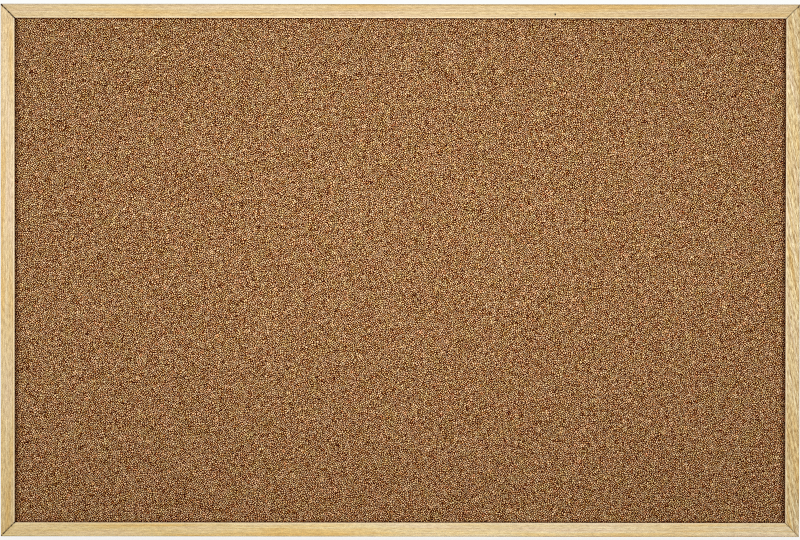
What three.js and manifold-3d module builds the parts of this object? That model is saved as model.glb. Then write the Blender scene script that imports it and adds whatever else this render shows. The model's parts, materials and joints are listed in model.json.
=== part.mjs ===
// Framed cork pin board, hung on a wall by two D-ring hangers.
// Millimetres, +Z up. The front faces -Y, the wall plane is y = 0, and the origin is the
// centre of the board on the wall plane.
import * as THREE from 'three';
import { mergeVertices } from 'three/addons/utils/BufferGeometryUtils.js';
import Module from 'manifold-3d';

const wasm = await Module();
wasm.setup();

// Board, seen from the front
const BOARD_WIDTH = 900;
const BOARD_HEIGHT = 600;

// Pine moulding: an L section whose front lip laps over the cork
const RAIL_FACE = 16; // width seen from the front
const LIP_THICKNESS = 4; // front lip, which is also the depth of the pinning recess
const REBATE_WIDTH = 5; // step behind the lip that takes the panel
const FACE_ROUND = 3.5; // outer front arris
const SIGHT_ROUND = 1; // inner front arris, beside the cork
const BACK_ROUND = 0.8; // outer back arris
const MITRE_GAP = 0.3; // open line between the two faces of a mitre

// Laminated panel, from the front to the back
const CORK_THICKNESS = 3;
const SOFTBOARD_THICKNESS = 5;
const HARDBOARD_THICKNESS = 2.5;
const GLUE_FILM = 0.2; // between two layers
const PANEL_SEAT = 0.2; // cork to the back of the lip
const PANEL_CLEARANCE = 0.5; // panel edge to the wall of the rebate
const BACK_RECESS = 2.9; // hardboard to the wall plane

// Framer's points: flat steel tabs driven into the rebate wall, holding the panel in
const POINT_LENGTH = 14;
const POINT_WIDTH = 6;
const POINT_THICKNESS = 0.5;
const POINT_TIP = 3; // length of the tapered end
const POINT_BITE = 6; // length driven into the moulding
const POINT_SEAT = 0.2; // tab to the hardboard
const POINTS_LONG_RAIL = 4;
const POINTS_SHORT_RAIL = 3;

// V-nails: bent steel strips pressed in from the back across each mitre
const VNAIL_WING = 7;
const VNAIL_THICKNESS = 0.6;
const VNAIL_HEIGHT = 10;
const VNAIL_INSET = 5.5; // outer edge of the moulding to the strip's middle
const VNAIL_SINK = 0.3; // below the wall plane
const SLOT_CLEARANCE = 0.3; // round each driven fastener

// D-ring hangers on the backs of the two stiles
const HANGER_DROP = 150; // top edge of the board to the eye
const HANGER_INSET = 7; // outer edge of the stile to the strap's middle
const STRAP_WIDTH = 8;
const STRAP_THICKNESS = 1;
const STRAP_END = 6; // last screw to the round end of the strap
const STRAP_SEAT = 0.2; // strap to the stile, and screw head to the strap
const EYE_WRAP = 295; // degrees of the roll round the ring's bar
const RING_WIRE = 2; // wire diameter
const RING_LEG = 5.5; // bar to the start of the bow
const RING_CORNER = 1.6; // bend between bar and leg
const RING_PLAY = 0.3; // wire to the inside of the eye
const RING_SIDE_PLAY = 0.8; // wire to the strap's edge
const RING_STILE_GAP = 0.3; // bow to the stile when the ring leans up against it
const FOLD_CLEARANCE = 0.9; // folded ring to the first screw head

// Pan-head wood screws
const SCREW_SHANK = 3; // diameter
const SCREW_LENGTH = 12; // under the head
const SCREW_TIP = 3; // length of the point
const SCREW_HEAD = 5.6; // diameter
const SCREW_HEAD_HEIGHT = 1.8;
const SCREW_HEAD_RIM = 0.8; // straight side of the head, below its dome
const SCREW_PITCH = 13; // screw to screw along the strap
const SCREWS_PER_STRAP = 2;
const RECESS_LENGTH = 3; // cross recess
const RECESS_WIDTH = 0.7;
const RECESS_DEPTH = 1.1;

// Fineness of the curves
const ARC_STEPS = 6;
const EYE_STEPS = 24;
const ROUND_STEPS = 24;
const RING_STEPS = 56;
const WIRE_SIDES = 10;
const OVERCUT = 1; // how far a cutter runs past the face that it opens
const WELD = 1e-4; // corners nearer than this are one corner

// Depths, measured from the wall plane towards the front
const hardboardBack = BACK_RECESS;
const hardboardFront = hardboardBack + HARDBOARD_THICKNESS;
const softboardBack = hardboardFront + GLUE_FILM;
const softboardFront = softboardBack + SOFTBOARD_THICKNESS;
const corkBack = softboardFront + GLUE_FILM;
const corkFront = corkBack + CORK_THICKNESS;
const lipBack = corkFront + PANEL_SEAT;
const railDepth = lipBack + LIP_THICKNESS;
const pointFront = hardboardBack - POINT_SEAT;

// Distances across the moulding, measured inwards from the board's outer edge
const rebateWall = RAIL_FACE - REBATE_WIDTH;
const panelInset = rebateWall + PANEL_CLEARANCE;
const panelWidth = BOARD_WIDTH - 2 * panelInset;
const panelHeight = BOARD_HEIGHT - 2 * panelInset;

// Hanger geometry that follows from the wire, the strap and the screws
const wireRadius = RING_WIRE / 2;
const eyeInner = wireRadius + RING_PLAY;
const eyeOuter = eyeInner + STRAP_THICKNESS;
const eyeHeight = STRAP_SEAT + eyeOuter; // hinge axis above the stile
const strapTop = STRAP_SEAT + STRAP_THICKNESS;
const bowRadius = STRAP_WIDTH / 2 + RING_SIDE_PLAY + wireRadius;
const ringReach = RING_LEG + bowRadius;
const ringLean = Math.asin((eyeHeight - wireRadius - RING_STILE_GAP) / ringReach);
const firstScrew = ringReach + wireRadius + FOLD_CLEARANCE + SCREW_HEAD / 2;
const lastScrew = firstScrew + SCREW_PITCH * (SCREWS_PER_STRAP - 1);
const strapTail = lastScrew + STRAP_END;
const hangerX = BOARD_WIDTH / 2 - HANGER_INSET;
const hangerZ = BOARD_HEIGHT / 2 - HANGER_DROP;
const boreRadius = SCREW_SHANK / 2 + SLOT_CLEARANCE;

const pine = new THREE.MeshStandardMaterial({ color: 0xdfc391, roughness: 0.62, metalness: 0 });
const cork = new THREE.MeshStandardMaterial({ color: 0x956d48, roughness: 0.9, metalness: 0 });
const softboard = new THREE.MeshStandardMaterial({ color: 0x9a8463, roughness: 0.95, metalness: 0 });
const hardboard = new THREE.MeshStandardMaterial({ color: 0x6b4a30, roughness: 0.8, metalness: 0 });
const steel = new THREE.MeshStandardMaterial({ color: 0x9fa3a6, roughness: 0.4, metalness: 1 });
const zinc = new THREE.MeshStandardMaterial({ color: 0xc4c8cb, roughness: 0.3, metalness: 1 });

// A closed geometry as a solid that can be joined and cut
function toSolid(geometry) {
  const bare = geometry.clone();
  bare.deleteAttribute('normal');
  bare.deleteAttribute('uv');
  const merged = mergeVertices(bare, WELD);
  return new wasm.Manifold(new wasm.Mesh({
    numProp: 3,
    vertProperties: new Float32Array(merged.attributes.position.array),
    triVerts: new Uint32Array(merged.index.array),
  }));
}

// A solid as a geometry again
function toGeometry(solid) {
  const { vertProperties, triVerts } = solid.getMesh();
  const geometry = new THREE.BufferGeometry();
  geometry.setAttribute('position', new THREE.BufferAttribute(vertProperties, 3));
  geometry.setIndex(new THREE.BufferAttribute(triVerts, 1));
  geometry.computeVertexNormals();
  return geometry;
}

// A geometry less each of the cutters
function cut(geometry, cutters) {
  const whole = toSolid(geometry);
  return toGeometry(cutters.reduce((left, cutter) => left.subtract(toSolid(cutter)), whole));
}

// A box between two corners
function block([x0, y0, z0], [x1, y1, z1]) {
  const box = new THREE.BoxGeometry(x1 - x0, y1 - y0, z1 - z0);
  return box.translate((x0 + x1) / 2, (y0 + y1) / 2, (z0 + z1) / 2);
}

// An outline drawn in (x, z), as a plate whose back is at yBack
function plate(outline, thickness, yBack) {
  const flat = new THREE.ExtrudeGeometry(outline, {
    depth: thickness,
    bevelEnabled: false,
    curveSegments: ARC_STEPS,
  });
  return flat.rotateX(Math.PI / 2).translate(0, yBack, 0);
}

function polygon(points) {
  return new THREE.Shape(points.map(([x, y]) => new THREE.Vector2(x, y)));
}

function mesh(name, geometry, material) {
  const made = new THREE.Mesh(geometry, material);
  made.name = name;
  return made;
}

// Where count points stand along a rail, evenly spaced
function pointPlaces(length, count) {
  const spacing = (length - 2 * RAIL_FACE) / count;
  return Array.from({ length: count }, (_, i) => (i - (count - 1) / 2) * spacing);
}

// Section of the moulding: x is the distance in from the outer edge, y the depth from the wall
function mouldingSection() {
  const section = new THREE.Shape();
  section.moveTo(BACK_ROUND, 0);
  section.lineTo(rebateWall, 0);
  section.lineTo(rebateWall, lipBack);
  section.lineTo(RAIL_FACE, lipBack);
  section.absarc(RAIL_FACE - SIGHT_ROUND, railDepth - SIGHT_ROUND, SIGHT_ROUND, 0, Math.PI / 2);
  section.absarc(FACE_ROUND, railDepth - FACE_ROUND, FACE_ROUND, Math.PI / 2, Math.PI);
  section.absarc(BACK_ROUND, BACK_ROUND, BACK_ROUND, Math.PI, 1.5 * Math.PI);
  return section;
}

// A length of moulding with both ends mitred. Its outer edge lies at z = 0 and faces +Z.
function mitredStick(length) {
  const stick = new THREE.ExtrudeGeometry(mouldingSection(), {
    depth: 1,
    bevelEnabled: false,
    curveSegments: ARC_STEPS,
  });
  const place = stick.attributes.position;
  for (let i = 0; i < place.count; i += 1) {
    const inset = place.getX(i);
    const halfLength = length / 2 - inset - MITRE_GAP / Math.SQRT2;
    const end = 1 - 2 * place.getZ(i);
    place.setXYZ(i, end * halfLength, -place.getY(i), -inset);
  }
  return stick;
}

// Slots for the wings of the V-nails at both ends of a stick
function vNailSlots(length) {
  const half = VNAIL_THICKNESS / 2 + SLOT_CLEARANCE;
  const apex = length / 2 - VNAIL_INSET;
  const floor = -(VNAIL_SINK + VNAIL_HEIGHT + SLOT_CLEARANCE);
  return [-1, 1].map((side) => {
    const ends = [side * (apex + half), side * (apex - VNAIL_WING - SLOT_CLEARANCE)];
    return block(
      [Math.min(...ends), floor, -VNAIL_INSET - half],
      [Math.max(...ends), OVERCUT, -VNAIL_INSET + half],
    );
  });
}

// Slots in the rebate wall for the framer's points
function pointSlots(places) {
  const half = POINT_WIDTH / 2 + SLOT_CLEARANCE;
  return places.map((x) => block(
    [x - half, -pointFront - SLOT_CLEARANCE, -rebateWall - OVERCUT],
    [x + half, -pointFront + POINT_THICKNESS + SLOT_CLEARANCE, -rebateWall + POINT_BITE + SLOT_CLEARANCE],
  ));
}

// Pilot holes for the hanger screws
function screwBores(places) {
  const depth = SCREW_LENGTH + SLOT_CLEARANCE;
  return places.map((x) => {
    const bore = new THREE.CylinderGeometry(boreRadius, boreRadius, depth + OVERCUT, ROUND_STEPS);
    return bore.translate(x, (OVERCUT - depth) / 2, -HANGER_INSET);
  });
}

// A framer's point beside the rebate wall, tapered where it is driven in
function framersPoint(x) {
  const tip = -rebateWall + POINT_BITE;
  const half = POINT_WIDTH / 2;
  const outline = polygon([
    [x, tip],
    [x - half, tip - POINT_TIP],
    [x - half, tip - POINT_LENGTH],
    [x + half, tip - POINT_LENGTH],
    [x + half, tip - POINT_TIP],
  ]);
  return plate(outline, POINT_THICKNESS, -pointFront + POINT_THICKNESS);
}

// One side of the frame with the points that it carries, outer edge up, then turned into place
function frameSide({ name, length, points, screws, turn, offset }) {
  const side = new THREE.Group();
  const places = pointPlaces(length, points);
  const cutters = [...vNailSlots(length), ...pointSlots(places), ...screwBores(screws)];
  side.add(mesh(name, cut(mitredStick(length), cutters), pine));
  places.forEach((x, i) => {
    side.add(mesh(`${name}_framers_point_${i + 1}`, framersPoint(x), steel));
  });
  side.rotation.y = turn;
  side.position.set(offset[0], 0, offset[1]);
  return side;
}

// A V-nail in the corner towards +X and +Z of a frame half this wide and high
function vNail(name, halfWidth, halfHeight, turn) {
  const half = VNAIL_THICKNESS / 2;
  const x = halfWidth - VNAIL_INSET;
  const z = halfHeight - VNAIL_INSET;
  const outline = polygon([
    [x + half, z + half],
    [x - VNAIL_WING, z + half],
    [x - VNAIL_WING, z - half],
    [x - half, z - half],
    [x - half, z - VNAIL_WING],
    [x + half, z - VNAIL_WING],
  ]);
  const nail = mesh(name, plate(outline, VNAIL_HEIGHT, -VNAIL_SINK), steel);
  nail.rotation.y = turn;
  return nail;
}

// One layer of the panel
function panelLayer(name, front, thickness, material) {
  const corner = [panelWidth / 2, panelHeight / 2];
  const sheet = block(
    [-corner[0], -front, -corner[1]],
    [corner[0], -front + thickness, corner[1]],
  );
  return mesh(name, sheet, material);
}

// Strap with its rolled eye on the hinge axis, which runs along X through (y, z) = (eyeHeight, 0)
function strap(screws) {
  const start = -Math.PI / 2;
  const end = start + THREE.MathUtils.degToRad(EYE_WRAP);
  const side = new THREE.Shape();
  side.moveTo(-strapTail, STRAP_SEAT);
  side.absarc(0, eyeHeight, eyeOuter, start, end);
  side.absarc(0, eyeHeight, eyeInner, end, start, true);
  side.lineTo(-strapTail, strapTop);
  const strip = new THREE.ExtrudeGeometry(side, {
    depth: STRAP_WIDTH,
    bevelEnabled: false,
    curveSegments: EYE_STEPS,
  });
  strip.rotateY(-Math.PI / 2).translate(STRAP_WIDTH / 2, 0, 0);

  const round = STRAP_WIDTH / 2;
  const plan = new THREE.Shape();
  plan.moveTo(round, eyeOuter + OVERCUT);
  plan.lineTo(-round, eyeOuter + OVERCUT);
  plan.absarc(0, -strapTail + round, round, Math.PI, 2 * Math.PI);
  const height = eyeHeight + eyeOuter + OVERCUT;
  const trimmed = toSolid(strip).intersect(toSolid(plate(plan, height + OVERCUT, height)));

  const holes = screws.map((z) => {
    const hole = new THREE.CylinderGeometry(boreRadius, boreRadius, height, ROUND_STEPS);
    return toSolid(hole.translate(0, 0, z));
  });
  return toGeometry(holes.reduce((left, hole) => left.subtract(hole), trimmed));
}

// D-shaped wire ring, a tube closed on itself, standing up from its bar on X through the origin
function dRing() {
  const d = new THREE.Path();
  d.moveTo(-bowRadius + RING_CORNER, 0);
  d.absarc(bowRadius - RING_CORNER, RING_CORNER, RING_CORNER, -Math.PI / 2, 0);
  d.absarc(0, RING_LEG, bowRadius, 0, Math.PI);
  d.absarc(-bowRadius + RING_CORNER, RING_CORNER, RING_CORNER, Math.PI, 1.5 * Math.PI);
  d.closePath();
  const points = d.getSpacedPoints(2 * RING_STEPS).slice(0, -1);
  const line = new THREE.CatmullRomCurve3(points.map((p) => new THREE.Vector3(p.x, 0, p.y)), true);
  return new THREE.TubeGeometry(line, RING_STEPS, wireRadius, WIRE_SIDES, true);
}

// Pan-head screw with its axis on Y, the underside of its head at y = 0 and its point at -Y
function panHeadScrew() {
  const shank = SCREW_SHANK / 2;
  const head = SCREW_HEAD / 2;
  const rise = SCREW_HEAD_HEIGHT - SCREW_HEAD_RIM;
  const dome = Array.from({ length: ARC_STEPS + 1 }, (_, i) => {
    const angle = (i / ARC_STEPS) * (Math.PI / 2);
    return [head * Math.cos(angle), SCREW_HEAD_RIM + rise * Math.sin(angle)];
  });
  const profile = [
    [0, -SCREW_LENGTH],
    [shank, -SCREW_LENGTH + SCREW_TIP],
    [shank, 0],
    [head, 0],
    ...dome.slice(0, -1),
    [0, SCREW_HEAD_HEIGHT],
  ].map(([r, y]) => new THREE.Vector2(r, y));
  const body = new THREE.LatheGeometry(profile, ROUND_STEPS);
  const long = RECESS_LENGTH / 2;
  const thin = RECESS_WIDTH / 2;
  const low = SCREW_HEAD_HEIGHT - RECESS_DEPTH;
  const high = SCREW_HEAD_HEIGHT + OVERCUT;
  return cut(body, [
    block([-long, low, -thin], [long, high, thin]),
    block([-thin, low, -long], [thin, high, long]),
  ]);
}

// A hanger with its eye at the group's own x and z: strap, screws and the ring leaning on the stile
function hanger(side, x) {
  const made = new THREE.Group();
  const screws = Array.from({ length: SCREWS_PER_STRAP }, (_, i) => -firstScrew - i * SCREW_PITCH);
  made.add(mesh(`${side}_hanger_strap`, strap(screws), zinc));
  screws.forEach((z, i) => {
    const screw = mesh(`${side}_hanger_screw_${i + 1}`, panHeadScrew(), zinc);
    screw.position.set(0, strapTop + STRAP_SEAT, z);
    made.add(screw);
  });
  const ring = mesh(`${side}_hanger_ring`, dRing(), zinc);
  ring.position.set(0, eyeHeight, 0);
  ring.rotation.x = ringLean;
  made.add(ring);
  made.position.set(x, 0, hangerZ);
  return made;
}

const board = new THREE.Group();

// Heights of the hanger screws on the stiles
const screwHeights = Array.from({ length: SCREWS_PER_STRAP }, (_, i) => (
  hangerZ - firstScrew - i * SCREW_PITCH
));
const quarter = Math.PI / 2;
const halfWidth = BOARD_WIDTH / 2;
const halfHeight = BOARD_HEIGHT / 2;
const longRail = { length: BOARD_WIDTH, points: POINTS_LONG_RAIL, screws: [] };
const shortRail = { length: BOARD_HEIGHT, points: POINTS_SHORT_RAIL };
board.add(
  frameSide({ ...longRail, name: 'top_rail', turn: 0, offset: [0, halfHeight] }),
  frameSide({ ...longRail, name: 'bottom_rail', turn: 2 * quarter, offset: [0, -halfHeight] }),
  frameSide({
    ...shortRail,
    name: 'left_stile',
    screws: screwHeights,
    turn: -quarter,
    offset: [-halfWidth, 0],
  }),
  frameSide({
    ...shortRail,
    name: 'right_stile',
    screws: screwHeights.map((z) => -z),
    turn: quarter,
    offset: [halfWidth, 0],
  }),
);

board.add(
  vNail('top_right_v_nail', halfWidth, halfHeight, 0),
  vNail('bottom_right_v_nail', halfHeight, halfWidth, quarter),
  vNail('bottom_left_v_nail', halfWidth, halfHeight, 2 * quarter),
  vNail('top_left_v_nail', halfHeight, halfWidth, -quarter),
);

board.add(
  panelLayer('cork_sheet', corkFront, CORK_THICKNESS, cork),
  panelLayer('softboard_core', softboardFront, SOFTBOARD_THICKNESS, softboard),
  panelLayer('hardboard_back', hardboardFront, HARDBOARD_THICKNESS, hardboard),
);

board.add(hanger('left', -hangerX), hanger('right', hangerX));

export default board;
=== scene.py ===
"""Looks of a framed cork pin board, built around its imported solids.

The board stands on its lower edge in a white studio. The cork faces -Y, +X is to the right of a person
who looks at it, and +Z is up. Lengths are in metres.
"""

import json
import logging
import math
from dataclasses import dataclass, field
from enum import Enum

import bmesh
import bpy
import numpy as np
from mathutils import Euler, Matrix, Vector


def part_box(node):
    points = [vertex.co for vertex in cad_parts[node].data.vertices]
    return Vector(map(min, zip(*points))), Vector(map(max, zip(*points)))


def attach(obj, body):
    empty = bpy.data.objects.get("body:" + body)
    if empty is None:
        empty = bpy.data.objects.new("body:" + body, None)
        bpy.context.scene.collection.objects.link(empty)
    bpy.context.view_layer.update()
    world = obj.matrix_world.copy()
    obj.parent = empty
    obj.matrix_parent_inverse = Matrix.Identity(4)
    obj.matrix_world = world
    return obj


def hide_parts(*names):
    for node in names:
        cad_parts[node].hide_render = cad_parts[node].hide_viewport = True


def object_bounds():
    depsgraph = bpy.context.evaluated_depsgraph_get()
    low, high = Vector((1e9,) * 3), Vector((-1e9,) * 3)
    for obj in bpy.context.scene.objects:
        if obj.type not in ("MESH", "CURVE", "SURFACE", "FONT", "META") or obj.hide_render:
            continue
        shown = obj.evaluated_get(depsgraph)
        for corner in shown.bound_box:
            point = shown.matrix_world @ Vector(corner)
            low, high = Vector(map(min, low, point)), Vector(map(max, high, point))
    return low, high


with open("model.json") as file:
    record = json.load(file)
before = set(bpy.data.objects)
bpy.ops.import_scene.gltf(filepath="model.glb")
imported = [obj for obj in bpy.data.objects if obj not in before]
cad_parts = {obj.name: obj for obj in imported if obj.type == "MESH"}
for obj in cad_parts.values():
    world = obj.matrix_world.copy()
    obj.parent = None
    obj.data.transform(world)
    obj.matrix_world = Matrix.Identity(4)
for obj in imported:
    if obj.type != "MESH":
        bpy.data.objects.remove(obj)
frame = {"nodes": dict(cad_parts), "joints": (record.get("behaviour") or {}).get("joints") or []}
cad_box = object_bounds()

MM = 0.001
BOARD = "board"
PHOTO_WIDTH = 800
SENSOR_WIDTH = 36

# Corners nearer than this become one
WELD = 1e-7
# Edges that turn more than this stay sharp
SHARP_ANGLE = math.radians(35)
# How far a cutter stands out of the surface that it opens
OVERCUT = 1 * MM
# Scale at which a wave texture has one wave to a metre
WAVE_SCALE = 2 * math.pi / 20

Array = np.ndarray
Pair = tuple[float, float]
Triple = tuple[float, float, float]
Direction = tuple[int, int, int]
Colour = Triple
Stops = tuple[tuple[float, Colour], ...]
# Two values between which something changes, and then what it goes from and to if not from 0 to 1
Fade = tuple[float, ...]
Socket = bpy.types.NodeSocket
Number = Socket | float
Paint = Socket | Colour
Inputs = dict[str | int, Socket | float | Triple]

ORIGIN: Triple = (0, 0, 0)
EVEN: Triple = (1, 1, 1)
RIGHT = np.array([1, 0, 0])
BACK = np.array([0, 1, 0])
log = logging.getLogger("pin_board")


def srgb(red: int, green: int, blue: int) -> Colour:
    """Turns a screen colour into linear light.

    Args:
        red: Red from 0 to 255.
        green: Green from 0 to 255.
        blue: Blue from 0 to 255.

    Returns:
        The three channels as linear values from 0 to 1.
    """
    screen = np.array([red, green, blue]) / 255
    linear = np.where(screen <= 0.04045, screen / 12.92, ((screen + 0.055) / 1.055) ** 2.4)
    return tuple(float(channel) for channel in linear)


WHITE = srgb(255, 255, 255)


@dataclass(frozen=True)
class Box:
    """The box round a solid at rest.

    Attributes:
        low: Lowest corner.
        high: Highest corner.
    """

    low: Array
    high: Array

    @classmethod
    def of(cls, node: str) -> "Box":
        """Reads the box of a solid."""
        low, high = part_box(node)
        return cls(np.array(low), np.array(high))

    @property
    def middle(self) -> Array:
        """Middle of the box."""
        return (self.low + self.high) / 2

    @property
    def size(self) -> Array:
        """Width, depth and height."""
        return self.high - self.low


# Curves and fields that the surfaces are made from


def line(start: Pair, end: Pair, steps: int) -> Array:
    """Gives points evenly spaced from start up to, but not including, end."""
    return np.linspace(start, end, steps, endpoint=False)


def turn_angles(steps: int) -> Array:
    """Gives angles evenly spaced round one turn, in radians."""
    return np.linspace(0, 2 * math.pi, steps, endpoint=False)


def arc(centre: Pair, radius: float, start: float, end: float, steps: int) -> Array:
    """Gives points on a circle: the centre plus the radius times (cosine, sine) of the angle.

    Args:
        centre: Centre of the circle.
        radius: Radius of the circle.
        start: First angle, in degrees.
        end: Last angle, in degrees.
        steps: Number of points, both ends included.

    Returns:
        The points, one to a row.
    """
    angle = np.radians(np.linspace(start, end, steps))
    return np.asarray(centre) + radius * np.stack([np.cos(angle), np.sin(angle)], axis=-1)


def circle(centre: Pair, radius: float, steps: int) -> Array:
    """Gives a closed circle."""
    return arc(centre, radius, 0, 360 * (1 - 1 / steps), steps)


def rounded_rectangle(half_width: float, half_height: float, radius: float, steps: int) -> Array:
    """Gives a closed outline with a quarter circle at each corner, anticlockwise.

    Args:
        half_width: Half the width.
        half_height: Half the height.
        radius: Radius of the corners.
        steps: Points in each corner.

    Returns:
        The outline's points, one to a row.
    """
    x = half_width - radius
    y = half_height - radius
    corners = [((x, y), 0), ((-x, y), 90), ((-x, -y), 180), ((x, -y), 270)]
    return np.concatenate([arc(at, radius, turn, turn + 90, steps) for at, turn in corners])


def rectangle(box: Box, margin: float) -> Array:
    """Gives the outline of a box in (x, z), grown by a margin.

    Args:
        box: The box.
        margin: How far the outline stands out of it.

    Returns:
        The four corners, one to a row.
    """
    x0, z0 = box.low[[0, 2]] - margin
    x1, z1 = box.high[[0, 2]] + margin
    return np.array([[x0, z0], [x1, z0], [x1, z1], [x0, z1]])


def outward_normals(outline: Array) -> Array:
    """Gives the outward unit normal at each point of a closed anticlockwise outline.

    The tangent is the step from the point before to the point after, turned a quarter clockwise.

    Args:
        outline: The outline's points, one to a row.

    Returns:
        The normals, one to a row.
    """
    tangent = np.roll(outline, -1, axis=0) - np.roll(outline, 1, axis=0)
    normal = np.stack([tangent[:, 1], -tangent[:, 0]], axis=-1)
    return normal / np.linalg.norm(normal, axis=1, keepdims=True)


def soft_noise(shape: tuple[int, int], spread: Pair, seed: int) -> Array:
    """Gives white noise blurred by a Gaussian and scaled to a standard deviation of one.

    The blur is a product in the frequency plane, exp(-2 (pi * spread * frequency)^2) along each axis.

    Args:
        shape: Rows and columns.
        spread: Standard deviation of the blur, in rows and in columns.
        seed: Start of the random draws.

    Returns:
        The field, which repeats at its edges.
    """
    white = np.random.default_rng(seed).standard_normal(shape)
    along, across = np.meshgrid(*(np.fft.fftfreq(count) for count in shape), indexing="ij")
    damping = np.exp(-2 * math.pi**2 * ((spread[0] * along) ** 2 + (spread[1] * across) ** 2))
    smooth = np.fft.ifft2(np.fft.fft2(white) * damping).real
    return smooth / smooth.std()


@dataclass
class Skin:
    """A surface as plain arrays, before it becomes a mesh.

    Attributes:
        points: Corners, one to a row.
        faces: Corner numbers of each face.
    """

    points: Array
    faces: list[list[int]]

    @classmethod
    def over_rings(cls, rings: Array, looped: bool = False) -> "Skin":
        """Stretches quads between closed rings, and closes the two ends unless the rings form a loop.

        Args:
            rings: rings[i, j] is point j of ring i.
            looped: True if the last ring joins the first.

        Returns:
            The closed surface.
        """
        count, size, _ = rings.shape
        bands = count if looped else count - 1
        ring, point = np.meshgrid(np.arange(bands), np.arange(size), indexing="ij")
        after = (point + 1) % size
        above = (ring + 1) % count
        corners = [ring * size + point, ring * size + after, above * size + after, above * size + point]
        faces = np.stack(corners, axis=-1).reshape(-1, 4).tolist()
        if not looped:
            first = np.arange(size)
            faces += [first[::-1].tolist(), (first + (count - 1) * size).tolist()]
        return cls(rings.reshape(-1, 3), faces)

    def __add__(self, other: "Skin") -> "Skin":
        """Puts another surface beside this one.

        Args:
            other: The other surface.

        Returns:
            Both as one.
        """
        shift = len(self.points)
        moved = [[corner + shift for corner in face] for face in other.faces]
        return Skin(np.concatenate([self.points, other.points]), self.faces + moved)

    def to_mesh(self, name: str) -> bpy.types.Mesh:
        """Makes the mesh, welds poles and seams, and turns every face outwards.

        Args:
            name: Name of the mesh.

        Returns:
            The mesh.
        """
        mesh = bpy.data.meshes.new(name)
        mesh.from_pydata(self.points.tolist(), [], self.faces)
        work = bmesh.new()
        work.from_mesh(mesh)
        bmesh.ops.remove_doubles(work, verts=work.verts, dist=WELD)
        bmesh.ops.recalc_face_normals(work, faces=work.faces)
        work.to_mesh(mesh)
        work.free()
        return mesh


def prism(outline: Array, low: float, high: float, taper: float = 1.0) -> Skin:
    """Carries an outline in (x, z) straight along Y.

    Args:
        outline: Closed outline, one (x, z) to a row.
        low: Lowest y.
        high: Highest y.
        taper: Size of the outline at the lowest y, as a share of its size at the highest.

    Returns:
        The closed surface.
    """
    middle = outline.mean(axis=0)
    ends = [(low, middle + taper * (outline - middle)), (high, outline)]
    rings = [np.stack([flat[:, 0], np.full(len(flat), y), flat[:, 1]], axis=-1) for y, flat in ends]
    return Skin.over_rings(np.array(rings))


# Pieces


def add_object(name: str, data: bpy.types.ID) -> bpy.types.Object:
    """Puts a mesh, a lamp or a camera into the scene.

    Args:
        name: Name of the object.
        data: What it shows.

    Returns:
        The new object.
    """
    made = bpy.data.objects.new(name, data)
    bpy.context.scene.collection.objects.link(made)
    return made


def carve(mesh: bpy.types.Mesh, cutters: list[Skin]) -> bpy.types.Mesh:
    """Cuts surfaces out of a mesh.

    Args:
        mesh: The mesh to cut.
        cutters: Closed surfaces that don't cross each other.

    Returns:
        The cut mesh, under the first mesh's name.
    """
    whole = sum(cutters[1:], cutters[0])
    tool = add_object("cutter", whole.to_mesh("cutter"))
    body = add_object("uncut", mesh)
    cut = body.modifiers.new("cut", "BOOLEAN")
    cut.operation = "DIFFERENCE"
    cut.solver = "EXACT"
    cut.object = tool
    bpy.context.view_layer.update()
    done = bpy.data.meshes.new_from_object(body.evaluated_get(bpy.context.evaluated_depsgraph_get()))
    name = mesh.name
    for used in (tool, body):
        data = used.data
        bpy.data.objects.remove(used)
        bpy.data.meshes.remove(data)
    done.name = name
    return done


@dataclass(frozen=True)
class Piece:
    """A new mesh in the place of a solid.

    Attributes:
        node: Solid that it replaces, whose name it takes.
        slot: Material slot of the record. Not used.
        body: Body that carries it.
    """

    node: str
    slot: str
    body: str = BOARD

    def build(self, skin: Skin, material: bpy.types.Material, cutters: list[Skin] | None = None) -> None:
        """Makes the mesh, carves and shades it, and hides the solid.

        Args:
            skin: Surface of the piece, at its place in the frame.
            material: Its finish.
            cutters: Closed surfaces to cut out of it.
        """
        mesh = skin.to_mesh(self.node)
        if cutters:
            mesh = carve(mesh, cutters)
        mesh.shade_smooth()
        mesh.set_sharp_from_angle(angle=SHARP_ANGLE)
        piece = add_object(f"{self.node}_dressed", mesh)
        mesh.materials.clear()
        mesh.materials.append(material)
        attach(piece, self.body)
        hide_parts(self.node)
        log.info("%s: %d corners, %d faces", piece.name, len(mesh.vertices), len(mesh.polygons))


def dress_solid(node: str, material: bpy.types.Material) -> None:
    """Gives a solid that keeps its own shape a finish.

    Args:
        node: The solid.
        material: Its finish.
    """
    solid = frame["nodes"][node]
    solid.data.materials.clear()
    solid.data.materials.append(material)
    log.info("%s: the solid itself, dressed", node)


# Finishes


@dataclass(frozen=True)
class Noise:
    """One layer of smooth noise.

    Attributes:
        size: Distance from wave to wave.
        detail: Octaves.
        roughness: Strength of the finer octaves.
        stretch: Factor on each axis before the noise is read, under 1 where it is drawn out.
    """

    size: float
    detail: float = 2.0
    roughness: float = 0.6
    stretch: Triple = EVEN


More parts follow.
